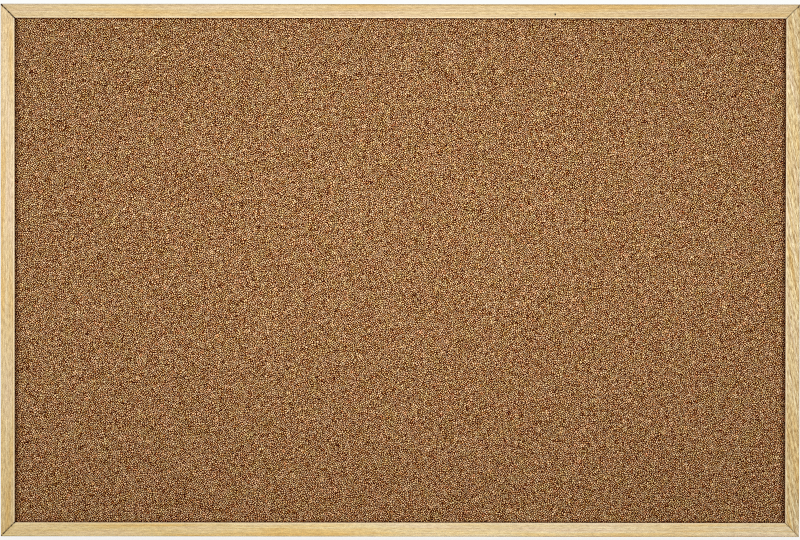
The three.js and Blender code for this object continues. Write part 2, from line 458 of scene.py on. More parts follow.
class Graph:
    """A node tree, with short calls that add nodes and join them."""

    def __init__(self, owner: bpy.types.Material | bpy.types.World) -> None:
        """Opens the node tree of a material or a world.

        Args:
            owner: What the nodes belong to.
        """
        self.owner = owner
        self.nodes = owner.node_tree.nodes
        self.links = owner.node_tree.links

    @classmethod
    def material(cls, name: str) -> "Graph":
        """Starts a material that holds one principled shader.

        Args:
            name: Name of the material.

        Returns:
            Its node tree.
        """
        owner = bpy.data.materials.new(name)
        owner.use_nodes = True
        return cls(owner)

    def add(self, kind: str, inputs: Inputs | None = None, **settings: str | bool) -> bpy.types.Node:
        """Adds a node.

        Args:
            kind: Node type, without the words ShaderNode.
            inputs: Value or socket for each input, by name or number.
            **settings: The node's own properties.

        Returns:
            The new node.
        """
        node = self.nodes.new(f"ShaderNode{kind}")
        for key, value in settings.items():
            setattr(node, key, value)
        for key, value in (inputs or {}).items():
            self.put(node.inputs[key], value)
        return node

    def put(self, socket: Socket, value: Socket | float | Triple) -> None:
        """Joins a socket to another, or sets its value.

        Args:
            socket: Input to fill.
            value: Output to join it to, or a number, a vector or a colour.
        """
        if isinstance(value, Socket):
            self.links.new(value, socket)
        elif isinstance(value, tuple) and socket.type == "RGBA":
            socket.default_value = (*value, 1.0)
        else:
            socket.default_value = value

    def turned(self, vector: Socket, turn: Triple, offset: Triple = ORIGIN) -> Socket:
        """Gives a vector turned about each axis, in radians, and then moved."""
        inputs = {"Vector": vector, "Location": offset, "Rotation": turn}
        return self.add("Mapping", inputs).outputs["Vector"]

    def place(self, turn: Triple = ORIGIN, offset: Triple = ORIGIN) -> Socket:
        """Gives object coordinates turned about each axis, in radians, and then moved."""
        return self.turned(self.add("TexCoord").outputs["Object"], turn, offset)

    def scaled(self, vector: Socket, stretch: Triple) -> Socket:
        """Gives a vector with each axis multiplied by its own factor."""
        return self.add("VectorMath", {0: vector, 1: stretch}, operation="MULTIPLY").outputs["Vector"]

    def split(self, vector: Socket) -> dict[str, Socket]:
        """Gives the three parts of a vector, by the names of their axes."""
        outputs = self.add("SeparateXYZ", {"Vector": vector}).outputs
        return {axis: outputs[axis] for axis in "XYZ"}

    def noise(self, vector: Socket, layer: Noise) -> Socket:
        """Gives smooth noise from 0 to 1.

        Args:
            vector: Where the noise is read.
            layer: Its size, detail and stretch.

        Returns:
            The value socket.
        """
        if layer.stretch != EVEN:
            vector = self.scaled(vector, layer.stretch)
        inputs = {"Vector": vector, "Scale": 1 / layer.size, "Detail": layer.detail,
                  "Roughness": layer.roughness}
        return self.add("TexNoise", inputs).outputs["Fac"]

    def waves(self, vector: Socket, pitch: float, bend: Triple, axis: str, profile: str = "SIN") -> Socket:
        """Gives rows of waves from 0 to 1.

        Args:
            vector: Where the waves are read.
            pitch: Distance from wave to wave.
            bend: Strength, detail and scale of the bends in the rows.
            axis: Axis along which the waves follow each other.
            profile: Shape of a wave.

        Returns:
            The value socket.
        """
        inputs = {"Vector": vector, "Scale": WAVE_SCALE / pitch}
        inputs.update(zip(("Distortion", "Detail", "Detail Scale"), bend))
        return self.add("TexWave", inputs, bands_direction=axis, wave_profile=profile).outputs["Fac"]

    def cells(self, vector: Socket, size: float, feature: str = "F1") -> bpy.types.Node:
        """Adds a flat pattern of uneven cells of about that size."""
        inputs = {"Vector": vector, "Scale": 1 / size}
        return self.add("TexVoronoi", inputs, feature=feature, voronoi_dimensions="2D")

    def draws(self, cells: bpy.types.Node) -> tuple[Socket, Socket]:
        """Gives two random values from 0 to 1 for each cell of a pattern."""
        colour = self.add("SeparateColor", {"Color": cells.outputs["Color"]}).outputs
        return colour["Red"], colour["Green"]

    def math(self, operation: str, first: Number, second: Number = 0.0, third: Number = 0.0) -> Socket:
        """Gives the result of one arithmetic step."""
        return self.add("Math", {0: first, 1: second, 2: third}, operation=operation).outputs["Value"]

    def blend(self, share: Number, first: Paint, second: Paint, mode: str = "MIX") -> Socket:
        """Mixes two colours.

        Args:
            share: How much of the second, from 0 to 1.
            first: First colour.
            second: Second colour.
            mode: Way of mixing.

        Returns:
            The colour socket.
        """
        node = self.add("Mix", data_type="RGBA", blend_type=mode)
        colours = [socket for socket in node.inputs if socket.type == "RGBA"]
        self.put(node.inputs["Factor"], share)
        self.put(colours[0], first)
        self.put(colours[1], second)
        return next(socket for socket in node.outputs if socket.type == "RGBA")

    def ramp(self, value: Socket, stops: Stops) -> Socket:
        """Turns a value into a colour, going straight from stop to stop.

        Args:
            value: Value from 0 to 1.
            stops: Place and colour of each stop, in order.

        Returns:
            The colour socket.
        """
        node = self.add("ValToRGB", {"Fac": value})
        elements = node.color_ramp.elements
        while len(elements) < len(stops):
            elements.new(1.0)
        for element, (place, colour) in zip(elements, stops):
            element.position = place
            element.color = (*colour, 1.0)
        return node.outputs["Color"]

    def span(self, value: Socket, low: float, high: float, start: float = 0.0, end: float = 1.0) -> Socket:
        """Gives the value stretched from one span to another, and held at the ends."""
        inputs = {"Value": value, "From Min": low, "From Max": high, "To Min": start, "To Max": end}
        return self.add("MapRange", inputs, clamp=True).outputs["Result"]

    def seen(self) -> Socket:
        """Gives 1 to rays from the camera, also by way of a reflection or through glass, or else 0.

        Returns:
            The value socket.
        """
        rays = self.add("LightPath").outputs
        direct = self.math("MAXIMUM", rays["Is Camera Ray"], rays["Is Glossy Ray"])
        return self.math("MAXIMUM", direct, rays["Is Transmission Ray"])

    def finish(self, colour: Paint, roughness: Number, height: Socket | None = None, relief: float = 0.0,
               **constants: float) -> bpy.types.Material:
        """Joins the shader's inputs.

        Args:
            colour: Base colour.
            roughness: Roughness.
            height: Height from 0 to 1 for the fine relief, or none.
            relief: Depth of that relief, in metres.
            **constants: Further values of the shader, with _ for each space.

        Returns:
            The finished material.
        """
        shader = self.nodes["Principled BSDF"]
        self.put(shader.inputs["Base Color"], colour)
        self.put(shader.inputs["Roughness"], roughness)
        for name, value in constants.items():
            self.put(shader.inputs[name.replace("_", " ")], value)
        if height is not None:
            bump = self.add("Bump", {"Height": height, "Strength": 1.0, "Distance": relief})
            self.put(shader.inputs["Normal"], bump.outputs["Normal"])
        return self.owner


class Grain(Enum):
    """Which way a length of pine runs, as the turn about Y that lays its grain along X, in degrees."""

    LEVEL = 0.0
    UPRIGHT = 90.0

    @property
    def axes(self) -> tuple[str, str]:
        """Names of the axes along and across the length."""
        return ("X", "Z") if self is Grain.LEVEL else ("Z", "X")


@dataclass(frozen=True)
class Pine:
    """Bare sanded pine: growth rings, fibres, amber streaks, dark glue in the mitres, a painted highlight
    on the sight edge's arris and painted shade on the lip's inner wall.

    Attributes:
        grain: Direction of the grain.
        seed: Moves the pattern, so that no two lengths are alike.
        slant: Turn of the grain off the length, in degrees.
        tilt: Turn of the rings about the grain, in degrees, so that face and edge both show them.
        pitch: Distance between growth rings.
        figure: How strongly the rings show, from 0 to 1.
        fibre: How strongly the fibres show, from 0 to 1.
        early: Colour of the early wood.
        late: Colour of the late wood.
        ends: Tint at the end towards -X or -Z, and at the other end.
        glue: How dark the glue line is at those two ends, from 0 to 1.
        fleck: Place of a resin fleck in x and z, or none.
        ring_draw: How far the rings are drawn out along the grain.
        ring_bend: Strength, detail and scale of the bends in the rings.
        ring_curve: Power that keeps the late wood to the end of each ring.
        streaks: Soft streaks among the rings.
        streak_fade: Noise at which a streak starts and is full.
        fibres: Fine fibres.
        silk: Tints from the pores to the silk between them.
        resin: Clouds of resin.
        amber: Tints from clean wood to amber.
        amber_share: Strength of those tints.
        painted_edge_fade: Distance from the sight edge over which the painted highlight of the arris and
            the painted shade of the wall end.
        arris: Colour of the painted highlight on the arris in front.
        wall_shade_fade: Depth over which the painted highlight on the arris turns into the painted shade on
            the wall that faces the cork.
        wall: Colour of the painted shade on that wall.
        front_fade: Depth over which marks on the face end.
        glue_fade: Distance from the mitre over which the glue ends.
        glue_noise: Unevenness of the glue.
        glue_gaps: Noise at which the glue is thin and full.
        glue_colour: Colour of the glue.
        fleck_fade: Distance from the fleck's middle over which it ends.
        fleck_slim: Height of the fleck over its width.
        fleck_colour: Colour of the fleck.
        shine: Fibre noise, and the roughness that goes with it.
        relief: Depth of the fibres.
        specular: Strength of the reflection.
    """

    grain: Grain
    seed: float
    slant: float = 0.0
    tilt: float = 30.0
    pitch: float = 2.6 * MM
    figure: float = 0.45
    fibre: float = 0.45
    early: Colour = srgb(240, 217, 172)
    late: Colour = srgb(208, 172, 116)
    ends: tuple[Colour, Colour] = (WHITE, WHITE)
    glue: Pair = (0.5, 0.5)
    fleck: Pair | None = None
    ring_draw: float = 0.035
    ring_bend: Triple = (3.0, 2.0, 0.6)
    ring_curve: float = 1.6
    streaks: Noise = Noise(3.5 * MM, 3.0, 0.55, (0.012, 1, 1))
    streak_fade: Fade = (0.3, 0.72)
    fibres: Noise = Noise(1.0 * MM, stretch=(0.15, 1, 1))
    silk: Stops = ((0.3, srgb(172, 150, 116)), (0.6, WHITE))
    resin: Noise = Noise(9 * MM, stretch=(0.06, 1, 1))
    amber: Stops = ((0.34, srgb(255, 249, 250)), (0.5, srgb(255, 251, 236)), (0.66, srgb(252, 233, 184)))
    amber_share: float = 0.9
    # Painted highlight on the sight edge's arris, and painted shade on the lip's inner wall that faces the
    # cork.
    painted_edge_fade: Fade = (0.3 * MM, 2.0 * MM, 0.8, 0.0)
    arris: Colour = srgb(250, 232, 196)
    wall_shade_fade: Fade = (-17.4 * MM, -16.4 * MM)
    wall: Colour = srgb(120, 74, 34)
    front_fade: Fade = (-16 * MM, -12 * MM, 1.0, 0.0)
    glue_fade: Fade = (0.85 * MM, 1.6 * MM, 1.0, 0.0)
    glue_noise: Noise = Noise(3 * MM, 1.0, 0.5)
    glue_gaps: Fade = (0.36, 0.58, 0.45, 1.0)
    glue_colour: Colour = srgb(58, 36, 4)
    fleck_fade: Fade = (1.1 * MM, 1.7 * MM, 1.0, 0.0)
    fleck_slim: float = 1.6
    fleck_colour: Colour = srgb(36, 24, 4)
    shine: Fade = (0.2, 0.8, 0.68, 0.52)
    relief: float = 0.05 * MM
    specular: float = 0.3

    def material(self, name: str, half: float, sight: float) -> bpy.types.Material:
        """Makes the finish.

        Args:
            name: Name of the material.
            half: Half the length of the side.
            sight: Distance of the sight edge from the board's middle.

        Returns:
            The material.
        """
        graph = Graph.material(name)
        turn = math.radians(self.grain.value + self.slant)
        flat = graph.place((0, turn, 0), (self.seed, 0, 0))
        where = graph.turned(flat, (math.radians(self.tilt), 0, 0))
        fibres = graph.noise(where, self.fibres)
        wood = self.clean_wood(graph, where, fibres)
        place = graph.split(graph.place())
        along, across = (place[axis] for axis in self.grain.axes)
        share = graph.span(along, -half, half)
        wood = graph.blend(1.0, wood, graph.blend(share, *self.ends), "MULTIPLY")
        inset = graph.math("SUBTRACT", graph.math("ABSOLUTE", across), sight)
        # Painted highlight on the arris in front, turning into painted shade on the lip's inner wall next
        # to the cork.
        edge = graph.blend(graph.span(place["Y"], *self.wall_shade_fade), self.arris, self.wall)
        wood = graph.blend(graph.span(inset, *self.painted_edge_fade), wood, edge)
        marks = [(self.glue_line(graph, along, inset, share, half), self.glue_colour)]
        if self.fleck:
            marks.append((self.spot(graph, place), self.fleck_colour))
        in_front = graph.span(place["Y"], *self.front_fade)
        for mark, colour in marks:
            wood = graph.blend(graph.math("MULTIPLY", mark, in_front), wood, colour)
        rough = graph.span(fibres, *self.shine)
        return graph.finish(wood, rough, fibres, self.relief, Specular_IOR_Level=self.specular)

    def clean_wood(self, graph: Graph, where: Socket, fibres: Socket) -> Socket:
        """Gives the colour of the wood alone: rings, tinted by the fibres and by the resin.

        Args:
            graph: Node tree of the wood.
            where: Place, with the grain along X.
            fibres: Noise of the fibres.

        Returns:
            The colour socket.
        """
        wood = graph.blend(self.rings(graph, where), self.early, self.late)
        wood = graph.blend(self.fibre, wood, graph.ramp(fibres, self.silk), "MULTIPLY")
        amber = graph.ramp(graph.noise(where, self.resin), self.amber)
        return graph.blend(self.amber_share, wood, amber, "MULTIPLY")

    def rings(self, graph: Graph, where: Socket) -> Socket:
        """Gives the share of late wood: ring by ring it deepens slowly and stops short, among soft streaks.

        Args:
            graph: Node tree of the wood.
            where: Place, with the grain along X.

        Returns:
            The value socket.
        """
        drawn = graph.scaled(where, (self.ring_draw, 1, 1))
        saw = graph.waves(drawn, self.pitch, self.ring_bend, "Z", "SAW")
        streaks = graph.noise(where, self.streaks)
        soft = graph.span(streaks, *self.streak_fade, 0.0, 1.0 - self.figure)
        return graph.math("MULTIPLY_ADD", graph.math("POWER", saw, self.ring_curve), self.figure, soft)

    def glue_line(self, graph: Graph, along: Socket, inset: Socket, share: Socket, half: float) -> Socket:
        """Gives the share of glue, which is full on the mitre, where the reach along equals the inset.

        Args:
            graph: Node tree of the wood.
            along: Place along the length.
            inset: Distance outwards from the sight edge.
            share: Place along the length, from 0 to 1.
            half: Half the length, at the outer edge.

        Returns:
            The value socket.
        """
        width = float(Box.of("top_rail").size[2])
        reach = graph.math("SUBTRACT", graph.math("ABSOLUTE", along), half - width)
        apart = graph.math("ABSOLUTE", graph.math("SUBTRACT", reach, inset))
        strength = graph.span(share, 0.0, 1.0, *self.glue)
        gaps = graph.span(graph.noise(graph.place(), self.glue_noise), *self.glue_gaps)
        uneven = graph.math("MULTIPLY", strength, gaps)
        return graph.math("MULTIPLY", graph.span(apart, *self.glue_fade), uneven)

    def spot(self, graph: Graph, place: dict[str, Socket]) -> Socket:
        """Gives the share of resin: full near the fleck's middle, nothing a little way out.

        Args:
            graph: Node tree of the wood.
            place: Object coordinates by axis.

        Returns:
            The value socket.
        """
        x, z = self.fleck
        side = graph.math("MULTIPLY", graph.math("SUBTRACT", place["X"], x), self.fleck_slim)
        rise = graph.math("SUBTRACT", place["Z"], z)
        squares = graph.math("MULTIPLY_ADD", side, side, graph.math("MULTIPLY", rise, rise))
        return graph.span(graph.math("SQRT", squares), *self.fleck_fade)


@dataclass(frozen=True)
class Cork:
    """Pressed cork: granules mottled with chips of colour, and dark gaps of uneven width between them.

    Attributes:
        sight: Half the width and half the height of the frame's opening.
        granule: Size of a granule.
        chip: Size of the chips of colour in the granules.
        flake: Spacing of the places where a large granule may lie.
        turn: Turn that lays the flat pattern in the sheet and its rows aslant.
        shakes: Distance over which each random move of the pattern changes, and its largest throw.
        crumbs: Noise that frays the granules' edges.
        fray: Strength of that noise, as a share of a granule.
        gap: Frayed distance from the edge at which the gap ends and the granule is full.
        base_tone: Lowest tone of a granule.
        granule_tone: Most that a granule's own draw adds.
        chip_tone: Most that a chip's own draw adds.
        tones: Places on the tone scale and their colours, from the gaps to the palest granules.
        flake_fade: Distance from a large granule's middle over which it ends, as a share of the spacing.
        pale_flakes: Draws that make a large granule pale, and what it adds to the tone.
        dark_flakes: Draws that make a large granule dark, and what it takes from the tone.
        red_flakes: Draws that make a large granule red.
        red: Tint of the red ones.
        mottle: Broad clouds of tint.
        tints: Tints from cloud to cloud.
        tint_share: Strength of those tints.
        lip_shade_widths: Reach of the painted shade from the stiles and from the rails, where the frame's
            lip shades the cork.
        lip_shade_most: Share of painted shade at the stiles and at the rails.
        lip_shade_tint: Tint of the painted shade.
        roughness: Roughness.
        relief: Depth of the gaps in the shading.
        specular: Strength of the reflection.
    """

    sight: Pair
    granule: float = 2.0 * MM
    chip: float = 0.6 * MM
    flake: float = 6 * MM
    turn: Triple = (math.pi / 2, 0, 0.6)
    shakes: tuple[Pair, ...] = ((9 * MM, 2.5 * MM), (1.4 * MM, 0.6 * MM))
    crumbs: Noise = Noise(0.6 * MM, 1.0)
    fray: float = 0.45
    gap: Fade = (0.325, 0.555)
    base_tone: float = 0.25
    granule_tone: float = 0.16
    chip_tone: float = 0.41
    tones: Stops = (
        (0.000, srgb(38, 0, 0)),
        (0.090, srgb(58, 3, 0)),
        (0.220, srgb(136, 64, 0)),
        (0.340, srgb(223, 151, 64)),
        (0.440, srgb(255, 212, 149)),
        (0.560, srgb(255, 233, 196)),
    )
    flake_fade: Fade = (0.2, 0.42, 1.0, 0.0)
    pale_flakes: Fade = (0.87, 0.97, 0.0, 0.16)
    dark_flakes: Fade = (0.03, 0.1, 0.09, 0.0)
    red_flakes: Fade = (0.8, 0.95)
    red: Colour = srgb(255, 226, 214)
    mottle: Noise = Noise(16 * MM)
    tints: Stops = ((0.3, srgb(255, 238, 236)), (0.5, srgb(252, 247, 239)), (0.7, srgb(246, 247, 210)))
    tint_share: float = 0.8
    # Painted shade on the cork along the frame's lip, where the lip's shadow falls.
    lip_shade_widths: Pair = (6 * MM, 2.4 * MM)
    lip_shade_most: Pair = (0.85, 0.8)
    lip_shade_tint: Colour = srgb(124, 79, 0)
    roughness: float = 0.9
    relief: float = 0.2 * MM
    specular: float = 0.08

    def material(self, name: str) -> bpy.types.Material:
        """Makes the finish.

        Args:
            name: Name of the material.

        Returns:
            The material.
        """
        graph = Graph.material(name)
        where = graph.place(self.turn)
        crooked = where
        for wave, throw in self.shakes:
            crooked = self.shaken(graph, crooked, wave, throw)
        lighter, redder = self.flakes(graph, crooked)
        tone = graph.math("ADD", self.granules(graph, where, crooked), lighter)
        colour = graph.blend(redder, graph.ramp(tone, self.tones), self.red, "MULTIPLY")
        tint = graph.ramp(graph.noise(where, self.mottle), self.tints)
        colour = graph.blend(self.tint_share, colour, tint, "MULTIPLY")
        # Painted shade: the cork is darker along the frame's lip, where the lip's shadow falls.
        colour = graph.blend(self.painted_lip_shade(graph), colour, self.lip_shade_tint, "MULTIPLY")
        return graph.finish(colour, self.roughness, tone, self.relief, Specular_IOR_Level=self.specular)

    def granules(self, graph: Graph, where: Socket, crooked: Socket) -> Socket:
        """Gives the tone of granules and chips, which falls to nothing in the gaps.

        The tone is a base, plus a random share for each granule and each chip. A gap is where the
        distance to the granule's edge is small, after noise has frayed it.

        Args:
            graph: Node tree of the cork.
            where: Place on the sheet.
            crooked: Place on the sheet, moved at random.

        Returns:
            The value socket.
        """
        granules, _ = graph.draws(graph.cells(crooked, self.granule))
        chips, _ = graph.draws(graph.cells(crooked, self.chip))
        edges = graph.cells(crooked, self.granule, "DISTANCE_TO_EDGE").outputs["Distance"]
        frayed = graph.math("MULTIPLY_ADD", graph.noise(where, self.crumbs), self.fray, edges)
        tone = graph.math("MULTIPLY_ADD", chips, self.chip_tone, self.base_tone)
        tone = graph.math("MULTIPLY_ADD", granules, self.granule_tone, tone)
        return graph.math("MULTIPLY", tone, graph.span(frayed, *self.gap))

    def flakes(self, graph: Graph, where: Socket) -> tuple[Socket, Socket]:
        """Gives what the few large granules add to the tone, and how red they are.

        Args:
            graph: Node tree of the cork.
            where: Place on the sheet.

        Returns:
            The two value sockets.
        """
        cells = graph.cells(where, self.flake)
        light, red = graph.draws(cells)
        body = graph.span(cells.outputs["Distance"], *self.flake_fade)
        pale = graph.span(light, *self.pale_flakes)
        dark = graph.span(light, *self.dark_flakes)
        lighter = graph.math("MULTIPLY", graph.math("SUBTRACT", pale, dark), body)
        return lighter, graph.math("MULTIPLY", graph.span(red, *self.red_flakes), body)

    def painted_lip_shade(self, graph: Graph) -> Socket:
        """Gives the share of painted shade, which deepens over the last millimetres before the frame's lip.

        Args:
            graph: Node tree of the cork.

        Returns:
            The value socket.
        """
        place = graph.split(graph.place())
        shares = []
        for axis, edge, width, most in zip("XZ", self.sight, self.lip_shade_widths, self.lip_shade_most):
            inside = graph.math("SUBTRACT", edge, graph.math("ABSOLUTE", place[axis]))
            shares.append(graph.span(inside, 0.0, width, most, 0.0))
        return graph.math("MAXIMUM", *shares)

    @staticmethod
    def shaken(graph: Graph, where: Socket, wave: float, throw: float) -> Socket:
        """Gives the place moved at random, so that the granules lie in no rows.

        Args:
            graph: Node tree of the cork.
            where: Place on the sheet.
            wave: Distance over which the move changes.
            throw: Largest move.

        Returns:
            The vector socket.
        """
        inputs = {"Vector": where, "Scale": 1 / wave, "Detail": 1.0}
        noise = graph.add("TexNoise", inputs, noise_dimensions="2D").outputs["Color"]
        shift = graph.scaled(noise, (throw, throw, throw))
        return graph.add("VectorMath", {0: where, 1: shift}, operation="ADD").outputs["Vector"]


@dataclass(frozen=True)
class Softboard:
    """Porous fibreboard: pale brown, with matted fibres.

    Attributes:
        pale: Colour of the fibres.
        deep: Colour of the pores.
        fibres: Matted fibres, which lie in the sheet.
        fibre_fade: Noise at which a pore ends and a fibre is full.
        roughness: Roughness.
        relief: Depth of the pores.
        specular: Strength of the reflection.
    """

    pale: Colour = srgb(170, 148, 112)
    deep: Colour = srgb(120, 98, 70)
    fibres: Noise = Noise(1.2 * MM, 4.0, 0.65, (1, 3, 1))
    fibre_fade: Fade = (0.35, 0.65)
    roughness: float = 0.95
    relief: float = 0.3 * MM
    specular: float = 0.2

    def material(self, name: str) -> bpy.types.Material:
        """Makes the finish.

        Args:
            name: Name of the material.

        Returns:
            The material.
        """
        graph = Graph.material(name)
        fibres = graph.noise(graph.place(), self.fibres)
        colour = graph.blend(graph.span(fibres, *self.fibre_fade), self.deep, self.pale)
        return graph.finish(colour, self.roughness, fibres, self.relief, Specular_IOR_Level=self.specular)


@dataclass(frozen=True)
class Hardboard:
    """Pressed hardboard, with the print of the press's wire screen on its back.

    Attributes:
        pale: Colour of the raised fibres.
        deep: Colour of the dents.
        screen_pitch: Distance between the wires of the screen.
        screen_bend: Strength, detail and scale of the bends in the wires.
        fibres: Pressed fibres.
        fibre_share: Height of the fibres as a share of the print's.
        height_fade: Height at which a dent ends and a raised fibre is full.
        cloud: Broad clouds.
        shades: Shades from cloud to cloud.
        shade_share: Strength of those shades.
        roughness: Roughness.
        relief: Depth of the print.
        specular: Strength of the reflection.
    """

    pale: Colour = srgb(139, 99, 66)
    deep: Colour = srgb(96, 64, 40)
    screen_pitch: float = 1.6 * MM
    screen_bend: Triple = (0.4, 1.0, 1.0)
    fibres: Noise = Noise(0.9 * MM, 3.0, 0.7)
    fibre_share: float = 0.6
    height_fade: Fade = (0.15, 1.2)
    cloud: Noise = Noise(70 * MM, 3.0)
    shades: Stops = ((0.3, srgb(222, 214, 208)), (0.7, WHITE))
    shade_share: float = 0.8
    roughness: float = 0.72
    relief: float = 0.12 * MM
    specular: float = 0.3

    def material(self, name: str) -> bpy.types.Material:
        """Makes the finish.

        Args:
            name: Name of the material.

        Returns:
            The material.
        """
        graph = Graph.material(name)
        where = graph.place()
        wires = [graph.waves(where, self.screen_pitch, self.screen_bend, axis) for axis in "XZ"]
        screen = graph.math("MULTIPLY", *wires)
        height = graph.math("MULTIPLY_ADD", graph.noise(where, self.fibres), self.fibre_share, screen)
        colour = graph.blend(graph.span(height, *self.height_fade), self.deep, self.pale)
        shade = graph.ramp(graph.noise(where, self.cloud), self.shades)
        colour = graph.blend(self.shade_share, colour, shade, "MULTIPLY")
        return graph.finish(colour, self.roughness, height, self.relief, Specular_IOR_Level=self.specular)


@dataclass(frozen=True)
class Metal:
    """Rolled or plated steel with fine scratches and a slight cloud in its shine.

    Attributes:
        clean: Colour of the clean metal.
        dull: Colour where it has dulled.
        roughness: Lowest and highest roughness.
        cloud: Clouds of dullness.
        cloud_fade: Noise at which dullness starts and is full.
        scratches: Fine scratches, drawn out upwards.
        scratch_share: Part of the scratches in the shine.
        shine_fade: Cloud and scratches together at which the roughness is lowest and highest.
        relief: Depth of the scratches.
    """

    clean: Colour
    dull: Colour
    roughness: Pair
    cloud: Noise = Noise(6 * MM, 3.0)
    cloud_fade: Fade = (0.35, 0.7)
    scratches: Noise = Noise(0.25 * MM, 2.0, 0.5, (1, 1, 0.08))
    scratch_share: float = 0.5
    shine_fade: Fade = (0.5, 1.1)
    relief: float = 0.01 * MM

    def material(self, name: str) -> bpy.types.Material:
        """Makes the finish.

        Args:
            name: Name of the material.

        Returns:
            The material.
        """
        graph = Graph.material(name)
        where = graph.place()
        cloud = graph.noise(where, self.cloud)
        scratches = graph.noise(where, self.scratches)
        colour = graph.blend(graph.span(cloud, *self.cloud_fade), self.clean, self.dull)
        worn = graph.math("MULTIPLY_ADD", scratches, self.scratch_share, cloud)
        rough = graph.span(worn, *self.shine_fade, *self.roughness)
        return graph.finish(colour, rough, scratches, self.relief, Metallic=1.0)


ZINC = Metal(srgb(206, 209, 212), srgb(178, 180, 180), (0.22, 0.42))
SPRING_STEEL = Metal(srgb(166, 168, 170), srgb(128, 126, 124), (0.3, 0.5))


# Sub-assemblies


class Hand(Enum):
    """Left or right on the board, seen from the front."""

    LEFT = "left"
    RIGHT = "right"

    @property
    def sign(self) -> int:
        """Sign of x on that side of the board."""
        return -1 if self is Hand.LEFT else 1


@dataclass(frozen=True)
class Side:
    """One side of the frame.

    Attributes:
        name: Node of the solid.
        outward: Unit vector from the board's middle to this side.
        along: Unit vector along the length.
        gaps: Mitre gap at the start and at the end of the length.
        points: Number of framer's points.
        finish: The wood.
    """

    name: str
    outward: Direction
    along: Direction
    gaps: Pair
    points: int
    finish: Pine

    def point_nodes(self) -> list[str]:
        """Gives the nodes of the framer's points."""
        return [f"{self.name}_framers_point_{number + 1}" for number in range(self.points)]


